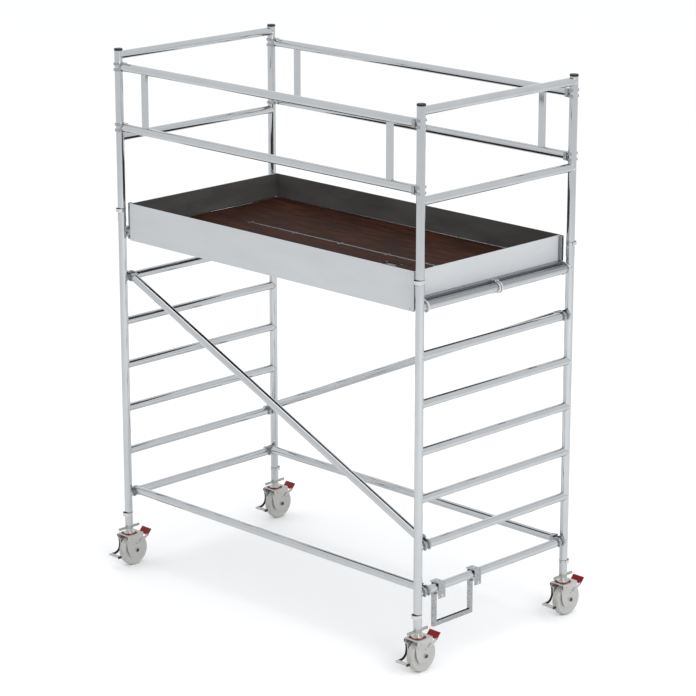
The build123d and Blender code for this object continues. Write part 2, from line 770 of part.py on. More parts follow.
def hatch_trimmers(places):
    """Short beams along the two long sides of the hatch, between the cross members beside it."""
    beams = []
    length = places[1] - places[0] - cross_member[0]
    for inner, outer in ((hatch_inner_edge - cross_member[0] / 2, hatch_inner_edge + 14),
                         (hatch_outer_edge + hinge_setback, hatch_outer_edge + cross_member[0])):
        y, width = across(-1, inner, outer)
        with BuildPart() as trimmer:
            height = deck_top - deck_thickness - cross_member[1] / 2
            with BuildSketch(Plane(origin=(sum(places) / 2, y, height), x_dir=(0, 1, 0),
                                   z_dir=(1, 0, 0))):
                Rectangle(width, cross_member[1])
                Rectangle(width - 2 * beam_wall, cross_member[1] - 2 * beam_wall,
                          mode=Mode.SUBTRACT)
            extrude(amount=length / 2, both=True)
        beams.append(trimmer.part.solid())
    return beams


hatch_members = (hatch_low_x - 10, hatch_high_x + 10)
plain_members = (-0.72 * ply_end, -0.24 * ply_end, 0.24 * ply_end, 0.72 * ply_end)
front_members = (-0.72 * ply_end, -0.24 * ply_end) + hatch_members

for side_name, side in sides.items():
    solids = [side_beam(side, platform_edge - beam_width, platform_edge, side),
              side_beam(side, platform_seam / 2, platform_seam / 2 + beam_width, -side)]
    solids += [end_beam(end, side) for end in ends.values()]
    solids += cross_beams(side, front_members if side < 0 else plain_members)
    if side < 0:
        solids += hatch_trimmers(hatch_members)
    save(Compound(children=solids), "platform_frame_" + side_name)


def deck_panel(side):
    """Plywood between the lips of a platform's beams; the front one is cut out for the hatch."""
    lip = beam_lip + fixed_gap
    y, width = across(side, platform_seam / 2 + lip, platform_edge - lip)
    with BuildPart() as panel:
        with BuildSketch(Plane(origin=(0, y, deck_top - deck_thickness))):
            Rectangle(2 * (ply_end - fixed_gap), width)
        extrude(amount=deck_thickness - 0.5)
        if side < 0:
            hole_y, hole_width = across(side, hatch_inner_edge, hatch_outer_edge + hinge_setback)
            with BuildSketch(Plane(origin=(hatch_center, hole_y, deck_top))):
                Rectangle(hatch_length, hole_width)
            extrude(amount=-deck_thickness, mode=Mode.SUBTRACT)
    return panel.part


for side_name, side in sides.items():
    save(deck_panel(side), "deck_panel_" + side_name)

hinge_y = middle_y - hatch_outer_edge
hinge_z = deck_top - hinge_radius - 0.5
hatch_free_y = middle_y - hatch_inner_edge - hatch_clearance
handle_y = hatch_free_y - handle_inset - handle_size[1] / 2
knuckle_places = [hatch_center + offset * hatch_length / 10 for offset in (-4, -3, 0, 3, 4)]
fixed_knuckles = knuckle_places[0::2]
moving_knuckles = knuckle_places[1::2]


def knuckles(places, leaf_middle, leaf_size):
    """Add hinge knuckles, each with a leaf at a place and of a size in the YZ plane."""
    for x in places:
        bar_along((1, 0, 0), (x, hinge_y, hinge_z), hinge_radius,
                  knuckle_length - 2 * fixed_gap)
        with BuildSketch(Plane(origin=(x, hinge_y, hinge_z), x_dir=(0, 1, 0),
                               z_dir=(1, 0, 0))) as web:
            with Locations(leaf_middle):
                Rectangle(*leaf_size)
        extrude(web.sketch, amount=knuckle_length / 2 - fixed_gap, both=True)


with BuildPart() as hatch:
    panel_front = hinge_y + hinge_setback
    with BuildSketch(Plane(origin=(hatch_center, (panel_front + hatch_free_y) / 2,
                                   deck_top - deck_thickness + fixed_gap))):
        Rectangle(hatch_length - 2 * hatch_clearance, hatch_free_y - panel_front)
        with Locations((0, handle_y - (panel_front + hatch_free_y) / 2)):
            Rectangle(handle_size[0] + 6, handle_size[1] + 12, mode=Mode.SUBTRACT)
    extrude(amount=deck_thickness - fixed_gap - 0.5)
    knuckles(moving_knuckles, (hinge_setback / 2 + 0.5, 0), (hinge_setback + 1, leaf_wall))
    bar_along((1, 0, 0), (hatch_center, hinge_y, hinge_z), hinge_pin_radius + running_gap,
              hatch_length, Mode.SUBTRACT)
    bar_along((1, 0, 0), (hatch_center, handle_y - handle_size[1] / 2,
                          deck_top - deck_thickness / 2), handle_radius - 0.5 + running_gap,
              handle_size[0] + 22, Mode.SUBTRACT)
save(hatch.part, "hatch")

with BuildPart() as hatch_hinge:
    knuckles(fixed_knuckles, (-hinge_setback + fixed_gap + leaf_wall / 2, -leaf_drop / 2),
             (leaf_wall, leaf_drop))
    bar_along((1, 0, 0), (hatch_center, hinge_y, hinge_z), hinge_pin_radius,
              knuckle_places[-1] - knuckle_places[0] + knuckle_length)
save(hatch_hinge.part, "hatch_hinge")

with BuildPart() as hatch_handle:
    pivot_y = handle_y - handle_size[1] / 2
    handle_z = deck_top - deck_thickness / 2
    half_length = handle_size[0] / 2 - handle_radius
    far_y = pivot_y + handle_size[1] - handle_radius
    bar_along((1, 0, 0), (hatch_center, pivot_y, handle_z), handle_radius - 0.5,
              handle_size[0] + 20)
    bar_along((1, 0, 0), (hatch_center, far_y, handle_z), handle_radius, handle_size[0])
    for hand in (-1, 1):
        bar_along((0, 1, 0), (hatch_center + hand * half_length, (pivot_y + far_y) / 2, handle_z),
                  handle_radius, far_y - pivot_y + 2 * handle_radius)
save(hatch_handle.part, "hatch_handle")

with BuildPart() as platform_claws:
    reach = 3 * grip
    claw_ranges = ((platform_seam / 2, platform_seam / 2 + platform_claw_width),
                   (platform_edge - platform_claw_inset - platform_claw_width,
                    platform_edge - platform_claw_inset))
    for end, side in corners.values():
        for inner, outer in claw_ranges:
            y, width = across(side, inner, outer)
            with BuildSketch(Plane(origin=(end * post_x, y, top_rung), x_dir=(1, 0, 0),
                                   z_dir=(0, -1, 0))):
                Circle(grip + platform_claw_wall)
                with Locations((-end * (end_beam_clear + end_beam_width) / 2,
                                deck_top - top_rung - beam_depth / 2)):
                    Rectangle(end_beam_clear + end_beam_width - 2 * fixed_gap, beam_depth)
                Circle(grip, mode=Mode.SUBTRACT)
                Polygon((0, 0), (-reach * 0.35, -reach), (reach * 0.35, -reach), align=None,
                        mode=Mode.SUBTRACT)
            extrude(amount=width / 2, both=True)
save(platform_claws.part, "platform_claws")

# ---- toe boards --------------------------------------------------------------------------
with BuildPart() as long_toe_boards:
    height = toe_board_top - deck_top + toe_board_drop
    for side in sides.values():
        y, width = across(side, long_board_face - toe_board_thickness, long_board_face)
        with BuildSketch(Plane(origin=(0, y, toe_board_top - height))):
            Rectangle(2 * long_board_end, width)
        extrude(amount=height)
        for end in ends.values():
            bar_along((0, 1, 0), (end * (long_board_end - 30), y, toe_board_top - height + 14),
                      3.5, 4 * toe_board_thickness, Mode.SUBTRACT)
save(long_toe_boards.part, "long_toe_boards")

corner_outer = long_board_face - toe_board_thickness - fixed_gap
with BuildPart() as end_toe_boards:
    for end in ends.values():
        with BuildSketch(Plane(origin=(end * (end_board_face - toe_board_thickness / 2), middle_y,
                                       deck_top + fixed_gap))):
            Rectangle(toe_board_thickness, 2 * corner_outer)
        extrude(amount=toe_board_top - deck_top - fixed_gap)
save(end_toe_boards.part, "end_toe_boards")

with BuildPart() as toe_board_corners:
    for end, side in corners.values():
        x = end * (end_board_face + fixed_gap + corner_profile / 2)
        y = middle_y + side * (corner_outer - corner_profile / 2)
        with BuildSketch(Plane(origin=(x, y, deck_top + fixed_gap))):
            RectangleRounded(corner_profile, corner_profile, 3)
            RectangleRounded(corner_profile - 2 * corner_wall, corner_profile - 2 * corner_wall,
                             1, mode=Mode.SUBTRACT)
        extrude(amount=toe_board_top - deck_top - fixed_gap)
save(toe_board_corners.part, "toe_board_corners")

# ---- hang-on step ------------------------------------------------------------------------
hook_half = tube_radius + 2 * fixed_gap
hook_outer = hook_half + step_hook_wall
with BuildPart() as step_hooks:
    for place in step_leg_places:
        middle = middle_y + place + step_hook_shift
        with BuildSketch(Plane(origin=(post_x, middle, lowest_rung), x_dir=(1, 0, 0),
                               z_dir=(0, -1, 0))):
            with Locations((0, (hook_outer - step_hook_drop) / 2)):
                Rectangle(2 * hook_outer, hook_outer + step_hook_drop)
            with Locations((-step_hook_lip, hook_half + step_hook_wall / 2)):
                Rectangle(2 * hook_outer, step_hook_wall)
            with Locations((0, (hook_half - step_hook_drop) / 2)):
                Rectangle(2 * hook_half, hook_half + step_hook_drop, mode=Mode.SUBTRACT)
        extrude(amount=step_hook_width / 2, both=True)
save(step_hooks.part, "step_hooks")

with BuildPart() as step_frame:
    leg_x = post_x - hook_half + fixed_gap + step_bar[0] / 2
    leg_top = lowest_rung - tube_radius - step_leg_gap
    first, last = (middle_y + place for place in step_leg_places)
    for y in (first, last):
        with BuildSketch(Plane(origin=(leg_x, y, step_bottom))):
            Rectangle(*step_bar)
        extrude(amount=leg_top - step_bottom)
    with BuildSketch(Plane(origin=(leg_x, (first + last) / 2, step_bottom))):
        Rectangle(step_bar[0], last - first)
    extrude(amount=step_tread_height)
    with BuildSketch(Plane(origin=(leg_x, (first + last) / 2, step_bottom + step_bar_wall))):
        Rectangle(step_bar[0] - 2 * step_bar_wall, last - first - step_bar[1])
    extrude(amount=step_tread_height, mode=Mode.SUBTRACT)
save(step_frame.part, "step_frame")
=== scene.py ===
# %% [markdown]
# # A rolling scaffold tower
# Two welded ladder frames stand on four braked castors. Tubes with claws tie them together, two
# platforms hang between the top rungs, and guard rails and toe boards go round the deck.
# The imported model gives each part its size and place. This lesson adds what a fabricator would
# see up close: weld beads, threads, rivets, bolts, pedal ribs, and the finish of each metal, board
# and moulding. Some of it is painted shade: dark rings above the spring clips, a darkened box
# section under the toe boards and black pedal arms.

# %% Load the frame
import math

import bmesh
import bpy
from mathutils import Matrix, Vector


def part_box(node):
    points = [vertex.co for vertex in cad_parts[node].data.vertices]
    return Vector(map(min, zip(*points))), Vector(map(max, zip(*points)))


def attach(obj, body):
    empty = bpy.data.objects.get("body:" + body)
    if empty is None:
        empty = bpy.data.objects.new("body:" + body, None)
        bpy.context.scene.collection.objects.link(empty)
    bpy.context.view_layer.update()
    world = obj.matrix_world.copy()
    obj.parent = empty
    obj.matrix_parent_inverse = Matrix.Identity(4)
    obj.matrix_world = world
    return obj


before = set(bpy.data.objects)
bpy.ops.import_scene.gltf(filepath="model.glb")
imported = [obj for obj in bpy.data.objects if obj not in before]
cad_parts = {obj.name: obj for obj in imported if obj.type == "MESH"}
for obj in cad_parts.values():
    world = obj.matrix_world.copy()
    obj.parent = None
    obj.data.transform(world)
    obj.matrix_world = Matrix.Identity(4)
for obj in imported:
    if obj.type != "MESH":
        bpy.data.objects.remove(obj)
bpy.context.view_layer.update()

# %% [markdown]
# ## Reading places off the frame
# A real fitter measures from the frames, not from the drawing's corner. The posts' lines come
# from the right ladder frame's box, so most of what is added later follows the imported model.
# The heights of the rungs and rails, which no box gives, are written out.

# %% Measure the frame
tube_radius = 0.025
lowest_rung = 0.478
rung_pitch = 0.280
rung_count = 7
rung_heights = [lowest_rung + rung_pitch * step for step in range(rung_count)]
guard_rail_heights = (2.757, 3.258)
side_guard_heights = (2.820, 3.190)

ladder_low, ladder_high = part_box("ladder_frame_right")
post_x = (ladder_low.x + ladder_high.x) / 2
front_y = ladder_low.y + tube_radius
back_y = ladder_high.y - tube_radius
middle_y = (front_y + back_y) / 2
corners = {"fl": (-1, front_y), "fr": (1, front_y), "bl": (-1, back_y), "br": (1, back_y)}
print("posts at x", round(post_x, 3), "and y", round(front_y, 3), round(back_y, 3))

# %% [markdown]
# ## A small kit for materials
# Every finish here is a Principled shader with texture nodes in front of it. Object coordinates
# are used because each part's place is in its mesh, so a pattern has its true size in metres.

# %% Material helpers
def node(material, kind, values=None, **settings):
    """Add a node to a material, set its properties, and set sockets by name or number."""
    made = material.node_tree.nodes.new(kind)
    for name, value in settings.items():
        setattr(made, name, value)
    for socket, value in (values or {}).items():
        made.inputs[socket].default_value = value
    return made


def join(material, output, target):
    """Link an output socket to an input socket."""
    material.node_tree.links.new(output, target)


def new_finish(name, colour, metallic, roughness, **more):
    """A Principled material with plain values set on its own sockets."""
    material = bpy.data.materials.new(name)
    material.use_nodes = True
    shader = material.node_tree.nodes["Principled BSDF"]
    shader.inputs["Base Color"].default_value = (*colour, 1)
    shader.inputs["Metallic"].default_value = metallic
    shader.inputs["Roughness"].default_value = roughness
    for socket, value in more.items():
        shader.inputs[socket.replace("_", " ")].default_value = value
    return material, shader


def coordinates(material, scale=(1, 1, 1), kind="Object", turn=(0, 0, 0), centre=(0, 0, 0)):
    """Stretched, turned or centred coordinates for a pattern."""
    source = node(material, "ShaderNodeTexCoord")
    shift = node(material, "ShaderNodeVectorMath", {1: centre}, operation="SUBTRACT")
    mapping = node(material, "ShaderNodeMapping", {"Scale": scale, "Rotation": turn})
    join(material, source.outputs[kind], shift.inputs[0])
    join(material, shift.outputs[0], mapping.inputs["Vector"])
    return mapping.outputs["Vector"]


def noise(material, vector, scale, detail=3.0, roughness=0.55):
    """Cloudy noise, from 0 to 1."""
    made = node(material, "ShaderNodeTexNoise",
                {"Scale": scale, "Detail": detail, "Roughness": roughness})
    join(material, vector, made.inputs["Vector"])
    return made.outputs["Fac"]


def between(material, value, low, high, out_low=0.0, out_high=1.0):
    """Spread a stretch of a value over another stretch, clamped."""
    made = node(material, "ShaderNodeMapRange", {1: low, 2: high, 3: out_low, 4: out_high})
    join(material, value, made.inputs["Value"])
    return made.outputs["Result"]


def two_tone(material, amount, first, second):
    """Mix two colours by an amount."""
    made = node(material, "ShaderNodeMix", data_type="RGBA")
    made.inputs["A"].default_value = (*first, 1)
    made.inputs["B"].default_value = (*second, 1)
    join(material, amount, made.inputs["Factor"])
    return made.outputs["Result"]


def arithmetic(material, operation, first, second):
    """One Math node; either side may be a socket or a number."""
    made = node(material, "ShaderNodeMath", operation=operation)
    for slot_number, value in enumerate((first, second)):
        if isinstance(value, (int, float)):
            made.inputs[slot_number].default_value = value
        else:
            join(material, value, made.inputs[slot_number])
    return made.outputs["Value"]


def relief(material, shader, height, strength, depth):
    """Turn a height from 0 to 1 into bump on the shader."""
    made = node(material, "ShaderNodeBump", {"Strength": strength, "Distance": depth})
    join(material, height, made.inputs["Height"])
    join(material, made.outputs["Normal"], shader.inputs["Normal"])


print("material helpers ready")

# %% [markdown]
# ## Extruded aluminium tube
# A tube is pressed through a die, which leaves faint lines along its whole length. Every line
# along a tube has one surface normal, so noise that reads the normal draws those lines on tubes
# that run in any direction. A second, large noise clouds the shine where hands and claws rub.

# %% Satin tube
def satin_tube(name, colour, roughness):
    """Mill-finish tube with die lines and cloudy shine."""
    material, shader = new_finish(name, colour, 0.97, roughness)
    around = coordinates(material, (1, 1, 1), "Normal")
    lines = noise(material, around, 38.0, 4.0)
    place = coordinates(material)
    clouds = noise(material, place, 7.0, 5.0)
    specks = noise(material, place, 420.0, 2.0)
    shine = arithmetic(material, "ADD", between(material, clouds, 0.3, 0.7, 0.0, 0.03),
                       between(material, lines, 0.3, 0.7, 0.0, 0.03))
    join(material, arithmetic(material, "ADD", shine, roughness - 0.03), shader.inputs["Roughness"])
    tone = arithmetic(material, "MULTIPLY", between(material, clouds, 0.35, 0.65),
                      between(material, specks, 0.3, 0.8, 0.5, 1.0))
    darker = tuple(0.93 * part for part in colour)
    join(material, two_tone(material, tone, colour, darker), shader.inputs["Base Color"])
    relief(material, shader, lines, 0.03, 0.0003)
    return material


bright_tube = satin_tube("satin_aluminium", (0.49, 0.503, 0.515), 0.08)
# The box section's base colour is darkened as painted shade: it stands in for the shadow in the gap
# under the toe boards on the end beams.
shade_darkened_box_section = satin_tube("box_section_painted_shade", (0.31, 0.32, 0.34), 0.14)
edge_metal = satin_tube("edge_aluminium", (0.55, 0.56, 0.57), 0.25)
print("tube finishes:", bright_tube.name, shade_darkened_box_section.name, edge_metal.name)

# %% [markdown]
# ## Hot-dip galvanising and zinc plating
# Zinc freezes into flat crystals a few millimetres across, each a slightly different grey.
# Voronoi cells are those crystals. Plated screws and clips are finer and brighter, cast claws
# are nearly plain, and the hatch's handle is dull with wear.

# %% Zinc finishes
def zinc(name, colour, crystal, roughness, contrast):
    """Metal with zinc crystals of a size in metres."""
    material, shader = new_finish(name, colour, 1.0, roughness)
    place = coordinates(material)
    cells = node(material, "ShaderNodeTexVoronoi", {"Scale": 1 / crystal})
    join(material, place, cells.inputs["Vector"])
    parts = node(material, "ShaderNodeSeparateColor")
    join(material, cells.outputs["Color"], parts.inputs["Color"])
    darker = tuple((1 - contrast) * part for part in colour)
    join(material, two_tone(material, parts.outputs["Red"], colour, darker),
         shader.inputs["Base Color"])
    join(material, between(material, parts.outputs["Green"], 0, 1, roughness - 0.08,
                           roughness + 0.12), shader.inputs["Roughness"])
    grain = noise(material, place, 600.0, 2.0)
    relief(material, shader, grain, 0.15, 0.0003)
    return material


galvanised = zinc("galvanised_steel", (0.42, 0.43, 0.44), 0.006, 0.18, 0.40)
claw_metal = zinc("cast_claw_alloy", (0.66, 0.66, 0.65), 0.004, 0.26, 0.10)
plated = zinc("zinc_plated_steel", (0.62, 0.62, 0.60), 0.003, 0.26, 0.14)
dull_steel = zinc("dull_steel", (0.16, 0.15, 0.14), 0.004, 0.42, 0.30)
nut_metal = zinc("wing_nut_casting", (0.40, 0.43, 0.40), 0.004, 0.40, 0.25)
print("zinc finishes:", galvanised.name, claw_metal.name, plated.name, dull_steel.name,
      nut_metal.name)

# %% [markdown]
# ## Coated and moulded finishes
# Coated steel and moulded plastic are not metal to the eye: light first meets a coloured skin.
# The skin has orange peel, a bump too fine to see as shape, and dust that dulls it in clouds.

# %% Coatings
def coating(name, colour, roughness, peel=0.12, dust=0.08, dust_colour=(0.35, 0.33, 0.30), **more):
    """A coloured skin with orange peel and a little dust."""
    material, shader = new_finish(name, colour, 0.0, roughness, **more)
    place = coordinates(material)
    clouds = noise(material, place, 22.0, 6.0)
    fine = noise(material, place, 520.0, 2.0)
    dusty = between(material, clouds, 0.45, 0.80, 0.0, dust)
    join(material, two_tone(material, dusty, colour, dust_colour), shader.inputs["Base Color"])
    join(material, between(material, clouds, 0.3, 0.7, roughness - 0.06, roughness + 0.10),
         shader.inputs["Roughness"])
    relief(material, shader, fine, peel, 0.0004)
    return material


fork_coat = coating("castor_grey_coat", (0.42, 0.415, 0.40), 0.36, Metallic=0.25)
red_cover = coating("dark_red_cover", (0.16, 0.004, 0.008), 0.45, Specular_IOR_Level=0.25)
black_coat = coating("black_coat", (0.018, 0.018, 0.019), 0.40)
# This black is the rubber of the pedal caps and also the painted shadow on the rings above the
# clips.
rubber_and_shadow_black = coating("rubber_and_shadow_black", (0.012, 0.012, 0.012), 0.62, peel=0.35)
black_cap = coating("black_moulded_cap", (0.008, 0.008, 0.009), 0.42, Specular_IOR_Level=0.2)
print("coatings:", fork_coat.name, red_cover.name, black_coat.name, rubber_and_shadow_black.name,
      black_cap.name)

# %% [markdown]
# ## Two colours on one lever
# The pedal's tread is light and its arm black; the black is painted shade for the arm's shadowed
# inner face. The release has light arms and a red pad.
# Both change along Y, so one material compares Y with a limit measured from the lever's box. Each
# castor has its own two, because its levers stand at their own Y.

# %% Lever colours

def two_zone_colour(name, colour, beyond_colour, limit, roughness):
    """One colour, and another beyond a limit on the Y axis; on the pedal the second is painted
    shade.
    """
    material, shader = new_finish(name, colour, 0.0, roughness, Specular_IOR_Level=0.25)
    place = coordinates(material, centre=(0, limit, 0))
    parts = node(material, "ShaderNodeSeparateXYZ")
    join(material, place, parts.inputs["Vector"])
    beyond = arithmetic(material, "GREATER_THAN", parts.outputs["Y"], 0)
    join(material, two_tone(material, beyond, colour, beyond_colour), shader.inputs["Base Color"])
    clouds = noise(material, place, 60.0, 4.0)
    join(material, between(material, clouds, 0.3, 0.7, roughness - 0.06, roughness + 0.10),
         shader.inputs["Roughness"])
    relief(material, shader, noise(material, place, 500.0, 2.0), 0.15, 0.0004)
    return material


tread_depth = 0.026
pad_depth = 0.0355
# The black beyond the pedal's tread is painted shade for the shadowed inner face of its arm; the
# red beyond the release's arms is paint.
light_coat, pedal_arm_shade_black = (0.42, 0.415, 0.40), (0.016, 0.016, 0.017)
red_paint = (0.215, 0.004, 0.007)
pedals, releases = {}, {}
for code in corners:
    pedal_low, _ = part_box("brake_pedal_" + code)
    pedals[code] = two_zone_colour("pedal_coat_and_arm_shade_" + code, light_coat, pedal_arm_shade_black,
                              pedal_low.y + tread_depth, 0.38)
    _, release_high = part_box("brake_release_" + code)
    releases[code] = two_zone_colour("release_coat_" + code, light_coat, red_paint,
                                release_high.y - pad_depth, 0.36)
print("two coats on each of", len(pedals) + len(releases), "levers")

# %% [markdown]
# ## Nylon wheels
# A moulded wheel is turned on its tread and scuffed by the floor. Rings about the axle are made
# from the distance to the axle, so each wheel has its own material with its own centre.

# %% Wheel material
def wheel_nylon(name, centre, radius):
    """Light grey nylon with turning rings about an axle along X and a scuffed tread."""
    light, scuffed = (0.40, 0.395, 0.38), (0.34, 0.33, 0.31)
    material, shader = new_finish(name, light, 0.0, 0.42)
    place = coordinates(material, centre=centre)
    parts = node(material, "ShaderNodeSeparateXYZ")
    join(material, place, parts.inputs["Vector"])
    y_squared = arithmetic(material, "MULTIPLY", parts.outputs["Y"], parts.outputs["Y"])
    z_squared = arithmetic(material, "MULTIPLY", parts.outputs["Z"], parts.outputs["Z"])
    distance = arithmetic(material, "SQRT", arithmetic(material, "ADD", y_squared, z_squared), 0)
    rings = arithmetic(material, "SINE", arithmetic(material, "MULTIPLY", distance, 2400.0), 0)
    worn = between(material, distance, radius - 0.010, radius - 0.002)
    clouds = noise(material, place, 45.0, 6.0)
    scuffs = arithmetic(material, "MULTIPLY", worn, between(material, clouds, 0.35, 0.65))
    join(material, two_tone(material, scuffs, light, scuffed), shader.inputs["Base Color"])
    join(material, between(material, clouds, 0.3, 0.7, 0.36, 0.52), shader.inputs["Roughness"])
    relief(material, shader, rings, 0.05, 0.0002)
    return material


wheels = {}
for code in corners:
    low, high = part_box("castor_wheel_" + code)
    wheels[code] = wheel_nylon("nylon_" + code, (low + high) / 2, (high.z - low.z) / 2)
print(len(wheels), "wheel materials")

# %% [markdown]
# ## Film-faced plywood
# The deck is birch plywood under a hot-pressed brown film. The press prints a wire mesh into the
# film for grip, and the veneer's grain shows through as long reddish streaks. Both are patterns
# on Object coordinates: two crossed waves make the mesh, and stretched noise makes the streaks.

# %% Deck material
def deck_film(name):
    """Dark phenolic film with a mesh print and streaks of grain along X."""
    brown, red_brown, worn = (0.024, 0.0105, 0.0070), (0.060, 0.0215, 0.0125), (0.040, 0.026, 0.019)
    material, shader = new_finish(name, brown, 0.0, 0.62, Specular_IOR_Level=0.015)
    grain = noise(material, coordinates(material, (1.8, 12, 12)), 2.6, 8.0, 0.68)
    place = coordinates(material)
    streaks = two_tone(material, between(material, grain, 0.47, 0.66), brown, red_brown)
    traffic = between(material, noise(material, place, 3.2, 6.0), 0.55, 0.85, 0.0, 0.35)
    wear = node(material, "ShaderNodeMix", data_type="RGBA")
    wear.inputs["B"].default_value = (*worn, 1)
    join(material, traffic, wear.inputs["Factor"])
    join(material, streaks, wear.inputs["A"])
    join(material, wear.outputs["Result"], shader.inputs["Base Color"])
    join(material, between(material, grain, 0.3, 0.7, 0.40, 0.58), shader.inputs["Roughness"])
    waves = []
    for direction in ("X", "Y"):
        wave = node(material, "ShaderNodeTexWave", {"Scale": 55.0}, bands_direction=direction)
        join(material, place, wave.inputs["Vector"])
        waves.append(wave.outputs["Fac"])
    relief(material, shader, arithmetic(material, "MAXIMUM", *waves), 0.35, 0.0006)
    return material


deck_brown = deck_film("deck_film")
print("deck finish:", deck_brown.name)

# %% [markdown]
# ## Toe boards
# The boards are faced with two films: light grey outside and dark grey-brown inside. Which one a
# point gets depends on whether it lies on the outer side of the board's middle, so the material
# compares the distance from the tower's middle with a named limit along one axis.

# %% Toe board material
def toe_board_film(name, axis, centre, limit):
    """Light film beyond a distance from the middle along an axis, dark film inside it."""
    outside, inside = (0.475, 0.49, 0.502), (0.056, 0.052, 0.050)
    material, shader = new_finish(name, outside, 0.0, 0.45, Specular_IOR_Level=0.12)
    place = coordinates(material)
    parts = node(material, "ShaderNodeSeparateXYZ")
    join(material, place, parts.inputs["Vector"])
    offset = arithmetic(material, "SUBTRACT", parts.outputs[axis], centre)
    distance = arithmetic(material, "ABSOLUTE", offset, 0)
    outer = arithmetic(material, "GREATER_THAN", distance, limit)
    clouds = noise(material, coordinates(material, (1, 1, 4)), 2.6, 5.0)
    dark_tone = two_tone(material, between(material, clouds, 0.3, 0.7), inside,
                         tuple(1.5 * part for part in inside))
    light_tone = two_tone(material, between(material, clouds, 0.3, 0.7), outside,
                          tuple(0.94 * part for part in outside))
    chosen = node(material, "ShaderNodeMix", data_type="RGBA")
    join(material, outer, chosen.inputs["Factor"])
    join(material, dark_tone, chosen.inputs["A"])
    join(material, light_tone, chosen.inputs["B"])
    join(material, chosen.outputs["Result"], shader.inputs["Base Color"])
    fine = noise(material, place, 300.0, 3.0)
    join(material, between(material, clouds, 0.3, 0.7, 0.34, 0.48), shader.inputs["Roughness"])
    relief(material, shader, fine, 0.08, 0.0004)
    return material


film_depth = 0.0065
long_low, long_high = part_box("long_toe_boards")
_, end_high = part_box("end_toe_boards")
long_board = toe_board_film("long_board_film", "Y", middle_y,
                            (long_high.y - long_low.y) / 2 - film_depth)
end_board = toe_board_film("end_board_film", "X", 0.0, end_high.x - film_depth)
print("board finishes:", long_board.name, end_board.name)

# %% [markdown]
# ## Giving each part its finish
# The parts keep their meshes. Only their material slots change, by the first matching name.

# %% Assign materials
finishes = {
    "ladder_frame": bright_tube, "guard_frame": bright_tube, "side_guard_claws": galvanised,
    "side_guard": bright_tube, "base_braces": bright_tube, "diagonal_braces": bright_tube,
    "brace_claws": galvanised, "brace_latches": plated, "platform_claws": claw_metal,
    # The platform frame and the toe board corners take the box section darkened as painted shade.
    "platform_frame": shade_darkened_box_section, "joint_spigots": plated, "post_caps": black_cap,
    "castor_spindles": plated, "castor_fork": fork_coat, "swivel_cover": red_cover,
    "spindle_nut": nut_metal,
    "castor_clip": plated, "frame_clip": plated, "deck_panel": deck_brown,
    "hatch_hinge": plated, "hatch_handle": dull_steel, "hatch": deck_brown,
    "long_toe_boards": long_board, "end_toe_boards": end_board,
    "toe_board_corners": shade_darkened_box_section, "step_hooks": galvanised, "step_frame": galvanised,
}


castor_finishes = {"castor_wheel_": wheels, "brake_pedal_": pedals, "brake_release_": releases}


def finish_of(name):
    """The finish of a part: its castor's own, or the first whose key starts the name."""
    for start, own in castor_finishes.items():
        if name.startswith(start):
            return own[name[-2:]]
    return next(finish for key, finish in finishes.items() if name.startswith(key))


for name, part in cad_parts.items():
    part.data.materials.clear()
    part.data.materials.append(finish_of(name))
print("finishes on", len(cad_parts), "parts")

# %% [markdown]
# ## Geometry Nodes for what repeats
# Weld beads, rivets, bolts, threads and ribs repeat many times. A Geometry Nodes tree makes one
# and sets it on every point of a small cloud, each point carrying the direction it faces. The
# tree ends in Realize Instances and Set Material, and the result is kept as a plain mesh.

# %% Tree helpers
def start_tree(name, sizes):
    """A tree with a geometry input and output and named sizes; returns it and its input node."""
    tree = bpy.data.node_groups.new(name, "GeometryNodeTree")
    tree.interface.new_socket("Geometry", in_out="INPUT", socket_type="NodeSocketGeometry")
    for label, value in sizes.items():
        kind = "NodeSocketInt" if isinstance(value, int) else "NodeSocketFloat"
        tree.interface.new_socket(label, in_out="INPUT", socket_type=kind).default_value = value
    tree.interface.new_socket("Material", in_out="INPUT", socket_type="NodeSocketMaterial")
    tree.interface.new_socket("Geometry", in_out="OUTPUT", socket_type="NodeSocketGeometry")
    return tree, tree.nodes.new("NodeGroupInput")


def step_node(tree, kind, links=None, values=None, **settings):
    """Add a tree node, set its properties, its socket values and its incoming links."""
    made = tree.nodes.new(kind)
    for name, value in settings.items():
        setattr(made, name, value)
    for socket, value in (values or {}).items():
        made.inputs[socket].default_value = value
    for socket, output in (links or {}).items():
        tree.links.new(output, made.inputs[socket])
    return made


def end_tree(tree, source, shape):
    """Set the shape on every point, facing its direction, then realize and give a material."""
    facing = step_node(tree, "GeometryNodeInputNamedAttribute", values={"Name": "facing"},
                       data_type="FLOAT_VECTOR")
    turn = step_node(tree, "FunctionNodeAlignRotationToVector",
                     {"Vector": facing.outputs["Attribute"]}, axis="Z")
    placed = step_node(tree, "GeometryNodeInstanceOnPoints",
                       {"Points": source.outputs["Geometry"], "Instance": shape,
                        "Rotation": turn.outputs["Rotation"]})
    real = step_node(tree, "GeometryNodeRealizeInstances",
                     {"Geometry": placed.outputs["Instances"]})
    coloured = step_node(tree, "GeometryNodeSetMaterial",
                         {"Geometry": real.outputs["Geometry"],
                          "Material": source.outputs["Material"]})
    step_node(tree, "NodeGroupOutput", {"Geometry": coloured.outputs["Geometry"]})
    return tree


